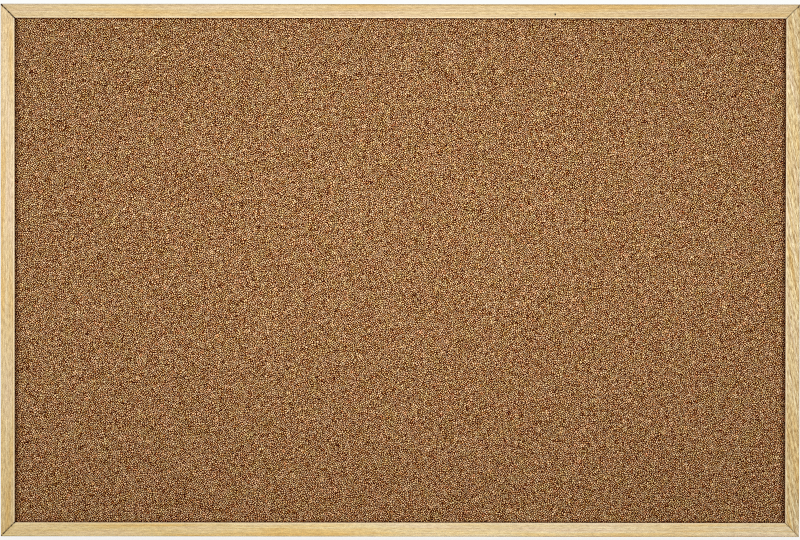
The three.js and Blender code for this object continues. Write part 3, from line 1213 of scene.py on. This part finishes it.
@dataclass
class PineFrame:
    """The four mitred lengths of moulding.

    Attributes:
        rebate_width: Width of the step that takes the panel.
        lip: Thickness of the lip in front of the cork.
        face_round: Radius of the outer front arris.
        sight_round: Radius of the inner front arris.
        back_round: Radius of the outer back arris.
        mitre_ease: Softening of the edges at each mitre.
        slot_clearance: Room round each driven fastener.
        relief: Height of the sanded grain.
        relief_spread: Blur of that grain, in sections along the length and in points round the section.
        stations: Sections along each length.
        sides: The four sides, clockwise from the top.
        face: Width of the moulding, read from its solid.
        depth: Depth of the moulding, read from its solid.
    """

    rebate_width: float = 5 * MM
    lip: float = 4 * MM
    face_round: float = 3.5 * MM
    sight_round: float = 1 * MM
    back_round: float = 0.8 * MM
    mitre_ease: float = 0.25 * MM
    slot_clearance: float = 0.3 * MM
    relief: float = 0.025 * MM
    relief_spread: Pair = (9.0, 0.8)
    stations: int = 180
    sides: tuple[Side, ...] = (
        Side("top_rail", (0, 0, 1), (1, 0, 0), (0.2 * MM, 0.12 * MM), 4,
             Pine(Grain.LEVEL, 1.7, early=srgb(238, 220, 183), late=srgb(206, 175, 124),
                  glue=(1.0, 0.5), fleck=(174 * MM, 288.3 * MM))),
        Side("right_stile", (1, 0, 0), (0, 0, -1), (0.12 * MM, 0.1 * MM), 3,
             Pine(Grain.UPRIGHT, 4.1, slant=11, tilt=60, pitch=2.0 * MM, figure=0.5, fibre=1.0,
                  early=srgb(255, 243, 208), late=srgb(206, 172, 112),
                  glue=(0.35, 0.5), fleck=(447.6 * MM, 297.2 * MM))),
        Side("bottom_rail", (0, 0, -1), (-1, 0, 0), (0.1 * MM, 0.15 * MM), 4,
             Pine(Grain.LEVEL, 7.3, early=srgb(255, 247, 221), late=srgb(231, 203, 156),
                  glue=(0.85, 0.35), ends=(srgb(246, 240, 212), WHITE))),
        Side("left_stile", (-1, 0, 0), (0, 0, 1), (0.15 * MM, 0.2 * MM), 3,
             Pine(Grain.UPRIGHT, 9.9, fibre=0.6, early=srgb(254, 240, 214), late=srgb(224, 195, 150),
                  glue=(0.85, 1.0), ends=(srgb(236, 230, 206), WHITE))),
    )
    face: float = field(init=False)
    depth: float = field(init=False)

    def __post_init__(self) -> None:
        """Reads the moulding's width and depth from the top rail's solid."""
        self.depth, self.face = Box.of("top_rail").size[1:]

    def section(self) -> Array:
        """Gives the moulding's outline as (inset from the outer edge, distance from the wall).

        The outline runs anticlockwise: back land, rebate, lip, sight edge, face, outer edge.

        Returns:
            The outline's points, one to a row.
        """
        wall = self.face - self.rebate_width
        under_lip = self.depth - self.lip
        sight = (self.face - self.sight_round, self.depth - self.sight_round)
        shoulder = (self.face_round, self.depth - self.face_round)
        return np.concatenate([
            line((self.back_round, 0), (wall, 0), 8),
            line((wall, 0), (wall, under_lip), 8),
            line((wall, under_lip), (self.face, under_lip), 4),
            line((self.face, under_lip), (self.face, sight[1]), 3),
            arc(sight, self.sight_round, 0, 90, 7),
            line((sight[0], self.depth), (shoulder[0], self.depth), 18)[1:],
            arc(shoulder, self.face_round, 90, 180, 12),
            line((0, shoulder[1]), (0, self.back_round), 10)[1:],
            arc((self.back_round, self.back_round), self.back_round, 180, 270, 6)[:-1],
        ])

    def stick(self, side: Side, seed: int) -> Skin:
        """Carries the section along one side, from mitre to mitre.

        At a share s of the half length, from -1 to 1, a point with inset w lies at
        s * (half length - w - gap) along the side. The last ring at each end is drawn in by the
        mitre's easing, and the grain stands out along the section's normals.

        Args:
            side: Which side.
            seed: Start of the random draws for the grain.

        Returns:
            The closed surface.
        """
        section = self.section()
        normals = outward_normals(section)
        shares = np.linspace(-1, 1, self.stations - 2)
        eased = np.concatenate([[self.mitre_ease], np.zeros(len(shares)), [self.mitre_ease]])
        grain = self.relief * soft_noise((self.stations, len(section)), self.relief_spread, seed)
        raised = grain - eased[:, None]
        inset = section[:, 0] + raised * normals[:, 0]
        depth = section[:, 1] + raised * normals[:, 1]

        half, reach = self.extent(side)
        gap = np.where(shares < 0, side.gaps[0], side.gaps[1]) / math.sqrt(2)
        ends = half - section[:, 0] - gap[:, None]
        body = shares[:, None] * (ends - self.mitre_ease)
        length = np.concatenate([-ends[:1], body, ends[-1:]])
        place = length[..., None] * np.array(side.along)
        place = place + (reach - inset)[..., None] * np.array(side.outward)
        return Skin.over_rings(place - depth[..., None] * BACK)

    @staticmethod
    def extent(side: Side) -> Pair:
        """Gives a side's half length, out to the board's corner, and its distance from the middle."""
        board = np.array([Box.of("right_stile").high[0], 0, Box.of("top_rail").high[2]])
        return float(np.abs(side.along) @ board), float(np.abs(side.outward) @ board)

    def sight(self) -> Pair:
        """Gives half the width and half the height of the opening in front of the cork."""
        return tuple(self.extent(side)[1] - self.face for side in (self.sides[1], self.sides[0]))

    def slots(self, side: Side) -> list[Skin]:
        """Gives the slots for the framer's points, the V-nails and the hanger screws of a side.

        Args:
            side: Which side.

        Returns:
            The slots as closed surfaces.
        """
        clear = self.slot_clearance
        cutters = []
        for box in map(Box.of, side.point_nodes()):
            cutters.append(prism(rectangle(box, clear), box.low[1] - clear, box.high[1] + clear))
        cutters += [nail.slot(clear) for nail in VNail.beside(side)]
        if side.outward[0]:
            cutters += Hanger.on(side).bores(clear)
        return cutters

    def build(self) -> None:
        """Makes the four lengths."""
        for seed, side in enumerate(self.sides):
            half, reach = self.extent(side)
            pine = side.finish.material(f"{side.name}_pine", half, reach - self.face)
            Piece(side.name, "pine").build(self.stick(side, seed), pine, self.slots(side))


@dataclass(frozen=True)
class VNail:
    """A V-nail across one mitre.

    Attributes:
        name: Node of the solid.
        sign: Which corner: the signs of its x and z.
        thickness: Thickness of the strip.
    """

    name: str
    sign: tuple[int, int]
    thickness: float = 0.6 * MM

    @classmethod
    def every(cls) -> list["VNail"]:
        """Gives the nails of the four corners."""
        heights = {"top": 1, "bottom": -1}
        return [cls(f"{height}_{hand.value}_v_nail", (hand.sign, sign))
                for height, sign in heights.items() for hand in Hand]

    @classmethod
    def beside(cls, side: Side) -> list["VNail"]:
        """Gives the two nails that hold the ends of a side."""
        facing = side.outward[0], side.outward[2]
        return [nail for nail in cls.every() if np.dot(nail.sign, facing) > 0]

    def slot(self, clear: float) -> Skin:
        """Gives the L-shaped slot that the nail stands in, open at the back.

        Args:
            clear: Room round the nail.

        Returns:
            The slot as a closed surface.
        """
        box = Box.of(self.name)
        half = box.size[[0, 2]] / 2
        outer = half + clear
        inner = half - self.thickness - clear
        corner = np.array([[outer[0], outer[1]], [-outer[0], outer[1]], [-outer[0], inner[1]],
                           [inner[0], inner[1]], [inner[0], -outer[1]], [outer[0], -outer[1]]])
        outline = box.middle[[0, 2]] + corner * np.array(self.sign)
        return prism(outline, box.low[1] - clear, box.high[1] + OVERCUT)

    @classmethod
    def build(cls) -> None:
        """Dresses the four nails."""
        steel = SPRING_STEEL.material("v_nail_steel")
        for nail in cls.every():
            dress_solid(nail.name, steel)


@dataclass
class Panel:
    """The laminated panel: cork in front, softboard in the middle, hardboard behind.

    Attributes:
        sight: Half the width and half the height of the frame's opening.
        cork_step: Spacing of the cork's relief.
        cork_pits: Depth of the cork's pits, as a standard deviation.
        pit_spread: Blur of the pits, in points.
        hollow_spread: Blur of the broader hollows, in points.
        hollow_share: Depth of the hollows as a share of the pits'.
        cork_seed: Start of the random draws for the pits. The hollows have the next.
        board_step: Spacing of the hardboard's waviness.
        board_wave: Height of the hardboard's waviness, as a standard deviation.
        wave_spread: Blur of that waviness, in points.
        board_seed: Start of its random draws.
    """

    sight: Pair
    cork_step: float = 2.6 * MM
    cork_pits: float = 0.06 * MM
    pit_spread: Pair = (0.4, 0.4)
    hollow_spread: Pair = (12, 12)
    hollow_share: float = 0.5
    cork_seed: int = 11
    board_step: float = 5 * MM
    board_wave: float = 0.05 * MM
    wave_spread: Pair = (9, 9)
    board_seed: int = 21

    @staticmethod
    def slab(node: str, relief: Array, outer_is_front: bool) -> Skin:
        """Makes a sheet with relief on the face that shows.

        Each ring goes across the sheet at one height: the face's points, drawn back by the relief,
        and then the two corners of the hidden face.

        Args:
            node: Solid that gives the sheet's size and place.
            relief: Depth below the face at each point, rows upwards and columns to the right.
            outer_is_front: True if the front shows, and False if the back does.

        Returns:
            The closed surface.
        """
        box = Box.of(node)
        low, high = box.low, box.high
        rows, columns = relief.shape
        x, z = np.meshgrid(np.linspace(low[0], high[0], columns), np.linspace(low[2], high[2], rows))
        shown, hidden = (low[1], high[1]) if outer_is_front else (high[1], low[1])
        face = np.stack([x, shown + relief * np.sign(hidden - shown), z], axis=-1)
        edges = [-1, 0]
        corners = np.stack([x[:, edges], np.full((rows, 2), hidden), z[:, edges]], axis=-1)
        return Skin.over_rings(np.concatenate([face, corners], axis=1))

    @staticmethod
    def grid(node: str, step: float) -> tuple[int, int]:
        """Gives the rows and columns of points that a spacing makes on a sheet."""
        width, _, height = Box.of(node).size
        return math.ceil(height / step), math.ceil(width / step)

    def cork_relief(self) -> Array:
        """Gives the depth of the cork's pits and hollows: the sizes of two soft noises, added.

        Returns:
            The depth at each point.
        """
        shape = self.grid("cork_sheet", self.cork_step)
        pits = np.abs(soft_noise(shape, self.pit_spread, self.cork_seed))
        hollows = np.abs(soft_noise(shape, self.hollow_spread, self.cork_seed + 1))
        return self.cork_pits * (pits + self.hollow_share * hollows)

    def board_relief(self) -> Array:
        """Gives the depth of the hardboard's waviness: the size of one soft noise."""
        shape = self.grid("hardboard_back", self.board_step)
        return self.board_wave * np.abs(soft_noise(shape, self.wave_spread, self.board_seed))

    def build(self) -> None:
        """Makes the cork and the hardboard, and dresses the softboard."""
        sheet = self.slab("cork_sheet", self.cork_relief(), True)
        Piece("cork_sheet", "cork").build(sheet, Cork(self.sight).material("pressed_cork"))
        back = self.slab("hardboard_back", self.board_relief(), False)
        finish = Hardboard().material("screen_backed_hardboard")
        Piece("hardboard_back", "hardboard").build(back, finish)
        dress_solid("softboard_core", Softboard().material("softboard"))


@dataclass
class FramersPoints:
    """The steel tabs that hold the panel in its rebate.

    Attributes:
        tip: Length of the tapered end.
        blunt: Part of the tip that is cut off.
        edge: Radius of the tab's edges, as a share of half its thickness.
        bow: How far the free end bends towards the panel.
        stations: Sections before the tip.
        edge_steps: Points in each rounded edge.
    """

    tip: float = 3 * MM
    blunt: float = 0.06
    edge: float = 0.9
    bow: float = 0.12 * MM
    stations: int = 8
    edge_steps: int = 4

    def tab(self, node: str, outward: Direction) -> Skin:
        """Carries a rounded section along the tab from its free end to its tip.

        The half width is constant and then falls to nothing over the tip, and the middle line sinks
        towards the panel by the bow times the square of the distance from the tip.

        Args:
            node: Solid that gives the tab's size and place.
            outward: Unit vector from the board's middle to the rail that the tab is driven into.

        Returns:
            The closed surface.
        """
        box = Box.of(node)
        forward = np.array(outward)
        across = np.abs(forward[::-1])
        length = box.size @ np.abs(forward)
        half_width = box.size @ across / 2
        half_thickness = box.size[1] / 2
        section = rounded_rectangle(half_width, half_thickness, self.edge * half_thickness, self.edge_steps)
        straight = np.linspace(0, 1 - self.tip / length, self.stations)
        share = np.concatenate([straight, [1 - self.blunt * self.tip / length]])
        width = np.clip((1 - share) * length / self.tip, 0, 1)
        sink = -self.bow * (1 - share) ** 2
        along = (share - 0.5) * length
        place = box.middle + along[:, None, None] * forward
        place = place + (width[:, None] * section[:, 0])[..., None] * across
        return Skin.over_rings(place + (sink[:, None] + section[:, 1])[..., None] * BACK)

    def build(self, sides: tuple[Side, ...]) -> None:
        """Makes the tabs of every side.

        Args:
            sides: Sides of the frame.
        """
        steel = SPRING_STEEL.material("framers_point_steel")
        for side in sides:
            for node in side.point_nodes():
                Piece(node, "steel").build(self.tab(node, side.outward), steel)


@dataclass
class Screw:
    """A pan-head wood screw.

    Attributes:
        node: Solid that it replaces.
        shank: Radius of the core.
        thread: Height of the thread.
        pitch: Pitch of the thread.
        point: Length of the point.
        head_height: Height of the head.
        rim: Straight side of the head, below its dome.
        rim_ease: Height of the softened edge below that side.
        rim_share: Radius under that edge, as a share of the head's.
        recess: Half length of the cross recess.
        recess_slim: Half width of the recess, as a share of its half length.
        recess_depth: Depth of the recess.
        recess_taper: Size of the recess at its foot, as a share of its size at the top.
        facets: Points round the screw.
        stations: Rings along the shank.
        dome_steps: Rings in the dome.
    """

    node: str
    shank: float = 1.15 * MM
    thread: float = 0.35 * MM
    pitch: float = 1.3 * MM
    point: float = 3 * MM
    head_height: float = 1.8 * MM
    rim: float = 0.8 * MM
    rim_ease: float = 0.08 * MM
    rim_share: float = 0.97
    recess: float = 1.5 * MM
    recess_slim: float = 0.25
    recess_depth: float = 1.1 * MM
    recess_taper: float = 0.6
    facets: int = 32
    stations: int = 96
    dome_steps: int = 10

    def threaded(self, y: Array, angle: Array) -> Array:
        """Gives the radius of the shank.

        It grows by the thread's height times a triangle wave of y / pitch + angle / turn. It falls to
        nothing over the point, and the thread runs out below the head.

        Args:
            y: Places along the shank, from the point to the head.
            angle: Angles round it.

        Returns:
            The radius, a row for each place.
        """
        taper = np.clip((y - y[0]) / self.point, 0, 1)[:, None]
        phase = (y[:, None] / self.pitch + angle / (2 * math.pi)) % 1
        crest = np.clip(1 - 4 * np.abs(phase - 0.5), 0, 1)
        run_out = np.clip((y[-1] - y) / self.pitch - 0.5, 0, 1)[:, None]
        return taper * (self.shank + self.thread * crest * run_out)

    def head(self, base: float, radius: float) -> tuple[Array, Array]:
        """Gives the outline of the head: a straight side, and a quarter ellipse for the dome.

        Args:
            base: Lowest y of the head.
            radius: Radius of the head.

        Returns:
            The y and the radius of each ring.
        """
        rise = np.radians(np.linspace(0, 90, self.dome_steps))[1:]
        dome = base + self.rim + (self.head_height - self.rim) * np.sin(rise)
        y = np.concatenate([[base, base + self.rim_ease], dome])
        return y, radius * np.concatenate([[self.rim_share, 1], np.cos(rise)])

    def body(self) -> Skin:
        """Turns the outlines of shank and head about Y.

        Returns:
            The closed surface.
        """
        box = Box.of(self.node)
        middle = box.middle
        angle = turn_angles(self.facets)
        under_head = box.high[1] - self.head_height
        y = np.linspace(box.low[1], under_head, self.stations)
        head_y, head_radius = self.head(under_head, box.size[0] / 2)
        head = np.repeat(head_radius[:, None], len(angle), axis=1)
        radius = np.concatenate([self.threaded(y, angle), head])
        height = np.concatenate([y, head_y])[:, None] + np.zeros(len(angle))
        rings = [middle[0] + radius * np.cos(angle), height, middle[2] + radius * np.sin(angle)]
        return Skin.over_rings(np.stack(rings, axis=-1))

    def cross(self) -> Skin:
        """Gives the cross recess as a tapered cutter: three corners, turned four times by a quarter.

        Returns:
            The closed surface.
        """
        box = Box.of(self.node)
        long = self.recess
        thin = self.recess_slim * self.recess
        quarter = np.array([[thin, long], [-thin, long], [-thin, thin]])
        turn = np.array([[0, 1], [-1, 0]])
        cross = np.concatenate([quarter @ np.linalg.matrix_power(turn, step) for step in range(4)])
        top = box.high[1]
        outline = box.middle[[0, 2]] + cross
        return prism(outline, top - self.recess_depth, top + OVERCUT, self.recess_taper)

    def build(self, zinc: bpy.types.Material) -> None:
        """Makes the screw in the finish given."""
        Piece(self.node, "zinc").build(self.body(), zinc, [self.cross()])


@dataclass
class Hanger:
    """A D-ring hanger on the back of a stile.

    Attributes:
        hand: Which stile.
        thickness: Thickness of the strap.
        seat: Gap between the strap and the stile.
        wrap: Turn of the rolled eye, in degrees.
        edge: Radius of the strap's edges.
        tail_start: Angle of the round tail at which the strap starts, in degrees.
        tail_steps: Sections in the round tail.
        strap_steps: Sections from there to the eye.
        eye_steps: Sections round the eye.
        edge_steps: Points in each rounded edge.
        wire: Radius of the ring's wire.
        leg: Bar of the ring to the start of its bow.
        corner: Bend between bar and leg.
        wire_facets: Points round the wire.
        shank: Radius of the screws.
        screws: Number of screws.
        bore_facets: Points round each screw hole.
    """

    hand: Hand
    thickness: float = 1 * MM
    seat: float = 0.2 * MM
    wrap: float = 295.0
    edge: float = 0.25 * MM
    tail_start: float = 6.0
    tail_steps: int = 12
    strap_steps: int = 24
    eye_steps: int = 60
    edge_steps: int = 5
    wire: float = 1 * MM
    leg: float = 5.5 * MM
    corner: float = 1.6 * MM
    wire_facets: int = 20
    shank: float = 1.5 * MM
    screws: int = 2
    bore_facets: int = 32

    @classmethod
    def on(cls, side: Side) -> "Hanger":
        """Gives the hanger of a stile."""
        return cls(next(hand for hand in Hand if hand.sign == side.outward[0]))

    @property
    def ring_body(self) -> str:
        """Body of the ring."""
        return f"{self.hand.value}_ring"

    @property
    def axis(self) -> Array:
        """Middle of the hinge, from the ring's joint."""
        joint = next(joint for joint in frame["joints"] if joint["child"] == self.ring_body)
        return np.array(joint["pos_m"])

    def node(self, part: str) -> str:
        """Names the solid of one of the hanger's parts."""
        return f"{self.hand.value}_hanger_{part}"

    def screw_nodes(self) -> list[str]:
        """Gives the nodes of the screws."""
        return [self.node(f"screw_{number + 1}") for number in range(self.screws)]

    def bores(self, clear: float) -> list[Skin]:
        """Gives the screw holes, from the ends of the screws to their heads' tops.

        Args:
            clear: Room round each screw.

        Returns:
            The holes as closed surfaces.
        """
        holes = []
        for box in map(Box.of, self.screw_nodes()):
            x, _, z = box.middle
            outline = circle((x, z), self.shank + clear, self.bore_facets)
            holes.append(prism(outline, box.low[1] - clear, box.high[1]))
        return holes

    def strap(self) -> Skin:
        """Carries the strip's section along its middle line: up the stile, then round the eye.

        The middle line is straight up to the axis and then an arc about it. Near the tail the half
        width follows a half circle.

        Returns:
            The closed surface.
        """
        box = Box.of(self.node("strap"))
        axis = self.axis
        half_width = box.size[0] / 2
        radius = axis[1] - self.seat - self.thickness / 2
        tail = axis[2] - box.low[2]
        swing = np.radians(np.linspace(self.tail_start, 90, self.tail_steps))
        upright = np.linspace(half_width, tail, self.strap_steps)[1:]
        straight = np.concatenate([half_width * (1 - np.cos(swing)), upright]) - tail
        roll = np.radians(np.linspace(-90, -90 + self.wrap, self.eye_steps)[1:])
        along = np.concatenate([straight, radius * np.cos(roll)])
        height = np.concatenate([np.full(len(straight), -radius), radius * np.sin(roll)])
        lean = np.concatenate([np.full(len(straight), -math.pi / 2), roll])
        width = np.concatenate([np.sin(swing), np.ones(len(along) - len(swing))])
        section = rounded_rectangle(half_width, self.thickness / 2, self.edge, self.edge_steps)
        out = section[:, 1]
        x = axis[0] + width[:, None] * section[:, 0]
        y = axis[1] + height[:, None] + np.sin(lean)[:, None] * out
        z = axis[2] + along[:, None] + np.cos(lean)[:, None] * out
        return Skin.over_rings(np.stack([x, y, z], axis=-1))

    def ring(self) -> Skin:
        """Carries the wire's circle round a D: bar, corner, leg, bow, leg and corner.

        The D stands up from the bar and leans on the stile, as its solid does.

        Returns:
            The closed surface, joined end to end.
        """
        box = Box.of(self.node("ring"))
        bow = box.size[0] / 2 - self.wire
        bend = bow - self.corner
        path = np.concatenate([
            line((-bend, 0), (bend, 0), 16),
            arc((bend, self.corner), self.corner, -90, 0, 10)[:-1],
            line((bow, self.corner), (bow, self.leg), 8),
            arc((0, self.leg), bow, 0, 180, 48)[:-1],
            line((-bow, self.leg), (-bow, self.corner), 8),
            arc((-bend, self.corner), self.corner, 180, 270, 10)[:-1],
        ])
        normals = outward_normals(path)
        angle = turn_angles(self.wire_facets)
        flat = path[:, None] + self.wire * np.cos(angle)[:, None] * normals[:, None]
        thick = self.wire * np.sin(angle)
        lean = math.asin((self.axis[1] - box.low[1] - self.wire) / (self.leg + bow))
        up = np.array([0, -math.sin(lean), math.cos(lean)])
        face = np.array([0, math.cos(lean), math.sin(lean)])
        place = self.axis + flat[..., :1] * RIGHT + flat[..., 1:] * up
        return Skin.over_rings(place + thick[:, None] * face, looped=True)

    def build(self) -> None:
        """Makes the strap, whose holes are as wide as the stile's, its screws and the ring."""
        zinc = ZINC.material(self.node("zinc"))
        holes = self.bores(PineFrame.slot_clearance)
        Piece(self.node("strap"), "zinc").build(self.strap(), zinc, holes)
        for node in self.screw_nodes():
            Screw(node).build(zinc)
        Piece(self.node("ring"), "zinc", self.ring_body).build(self.ring(), zinc)


# Studio


@dataclass(frozen=True)
class Lamp:
    """A soft rectangular lamp.

    Attributes:
        name: Name of the lamp.
        place: Where it stands.
        aim: What it points at.
        size: Width and height.
        power: Watts.
        spread: Angle of the beam, in degrees.
    """

    name: str
    place: Triple
    aim: Triple
    size: Pair
    power: float
    spread: float = 180.0

    def build(self) -> None:
        """Hangs the lamp, unseen by the camera."""
        data = bpy.data.lights.new(self.name, "AREA")
        data.shape = "RECTANGLE"
        data.size, data.size_y = self.size
        data.energy = self.power
        data.spread = math.radians(self.spread)
        lamp = add_object(self.name, data)
        lamp.location = self.place
        lamp.rotation_euler = (Vector(self.aim) - Vector(self.place)).to_track_quat("-Z", "Y").to_euler()
        lamp.visible_camera = False
        log.info("%s: %.0f W", self.name, self.power)


@dataclass
class Studio:
    """White studio: floor, world, lamps and the camera of the photograph.

    Attributes:
        distance: Camera to the board's front.
        elevation: Height of the camera above the level, in degrees.
        roll: Turn of the picture, in degrees.
        outline_width: Width of the board in the photograph, in pixels.
        picture_middle: Where the middle of the picture falls on the board, in x and z.
        sky: Colour of the surroundings.
        ambient: Strength of the light from all round.
        key: Direction from which most of the light on the back comes.
        key_light: Strength of that light.
        floor_size: Side of the floor.
        floor_colour: Colour of the floor.
        floor_roughness: Roughness of the floor.
        floor_specular: Strength of the floor's reflection.
        floor_glow: Share of the floor's look that is plain white to the camera.
        lamps: Two at the sides and a small one in front.
    """

    distance: float = 2.6
    elevation: float = 0.5
    roll: float = -0.06
    outline_width: float = 799.9
    picture_middle: Pair = (-0.2 * MM, 0.7 * MM)
    sky: Colour = srgb(251, 252, 250)
    ambient: float = 0.14
    key: Triple = (-0.4, 0.8, 0.5)
    key_light: float = 1.2
    floor_size: float = 14.0
    floor_colour: Colour = srgb(240, 240, 238)
    floor_roughness: float = 0.9
    floor_specular: float = 0.1
    floor_glow: float = 0.8
    lamps: tuple[Lamp, ...] = (
        Lamp("left_softbox", (-1.9, -1.75, 0.2), (0, 0, 0.02), (0.9, 1.3), 14.5),
        Lamp("right_softbox", (1.9, -1.75, 0.2), (0, 0, 0.02), (0.9, 1.3), 14.5),
        Lamp("front_softbox", (0, -2.0, 0.28), (0, 0, 0.07), (1.1, 0.2), 1.87, 44),
    )

    def world(self) -> None:
        """Makes the surroundings: white to the camera and in reflections, dimmer as a light.

        The light grows with the cosine of the angle to a key direction behind, above and to one side of
        the board, so that the back has soft shading too.
        """
        world = bpy.data.worlds.new("studio")
        world.use_nodes = True
        bpy.context.scene.world = world
        graph = Graph(world)
        way = graph.add("TexCoord").outputs["Generated"]
        key = tuple(Vector(self.key).normalized())
        facing = graph.add("VectorMath", {0: way, 1: key}, operation="DOT_PRODUCT").outputs["Value"]
        light = graph.math("MULTIPLY_ADD", graph.math("MAXIMUM", facing, 0.0), self.key_light, self.ambient)
        inputs = {"Factor": graph.seen(), "A": light, "B": 1.0}
        strength = graph.add("Mix", inputs, data_type="FLOAT").outputs["Result"]
        background = graph.nodes["Background"]
        graph.put(background.inputs["Color"], self.sky)
        graph.put(background.inputs["Strength"], strength)

    def floor_material(self) -> bpy.types.Material:
        """Makes the floor's finish: matt, and mostly plain white to the camera.

        Returns:
            The material.
        """
        graph = Graph.material("studio_floor")
        matt = graph.nodes["Principled BSDF"]
        material = graph.finish(self.floor_colour, self.floor_roughness,
                                Specular_IOR_Level=self.floor_specular)
        glow = graph.add("Emission", {"Color": WHITE, "Strength": 1.0})
        share = graph.math("MULTIPLY", graph.seen(), self.floor_glow)
        mixed = graph.add("MixShader", {"Fac": share, 1: matt.outputs[0], 2: glow.outputs[0]})
        graph.put(graph.nodes["Material Output"].inputs["Surface"], mixed.outputs[0])
        material.cycles.emission_sampling = "NONE"
        return material

    def floor(self) -> None:
        """Makes the pale floor under the board's lower edge."""
        half = self.floor_size / 2
        level = cad_box[0].z
        mesh = bpy.data.meshes.new("floor")
        corners = [(-half, -half, level), (half, -half, level), (half, half, level), (-half, half, level)]
        mesh.from_pydata(corners, [], [(0, 1, 2, 3)])
        floor = add_object("floor", mesh)
        mesh.materials.append(self.floor_material())

    def camera(self) -> None:
        """Sets the camera so that the board's outline has the photograph's width."""
        low, high = cad_box
        data = bpy.data.cameras.new("camera")
        span = (high.x - low.x) * PHOTO_WIDTH / self.outline_width
        data.sensor_width = SENSOR_WIDTH
        data.lens = data.sensor_width * self.distance / span
        camera = add_object("camera", data)
        tilt = math.radians(self.elevation)
        middle = Vector((self.picture_middle[0], low.y, self.picture_middle[1]))
        camera.location = middle + self.distance * Vector((0, -math.cos(tilt), math.sin(tilt)))
        camera.rotation_euler = Euler((math.pi / 2 - tilt, math.radians(self.roll), 0))
        bpy.context.scene.camera = camera

    def build(self) -> None:
        """Makes the whole studio, and keeps the picture as crisp as the photograph."""
        scene = bpy.context.scene
        scene.view_settings.view_transform = "Standard"
        scene.cycles.use_denoising = False
        scene.cycles.pixel_filter_type = "BOX"
        scene.cycles.filter_width = 1.0
        scene.cycles.use_light_tree = False
        self.world()
        self.floor()
        self.camera()
        for lamp in self.lamps:
            lamp.build()


def main() -> None:
    """Builds the studio and dresses the board."""
    logging.basicConfig(level=logging.INFO, format="%(message)s")
    Studio().build()
    pine_frame = PineFrame()
    pine_frame.build()
    VNail.build()
    Panel(pine_frame.sight()).build()
    FramersPoints().build(pine_frame.sides)
    for hand in Hand:
        Hanger(hand).build()


if __name__ == "__main__":
    main()
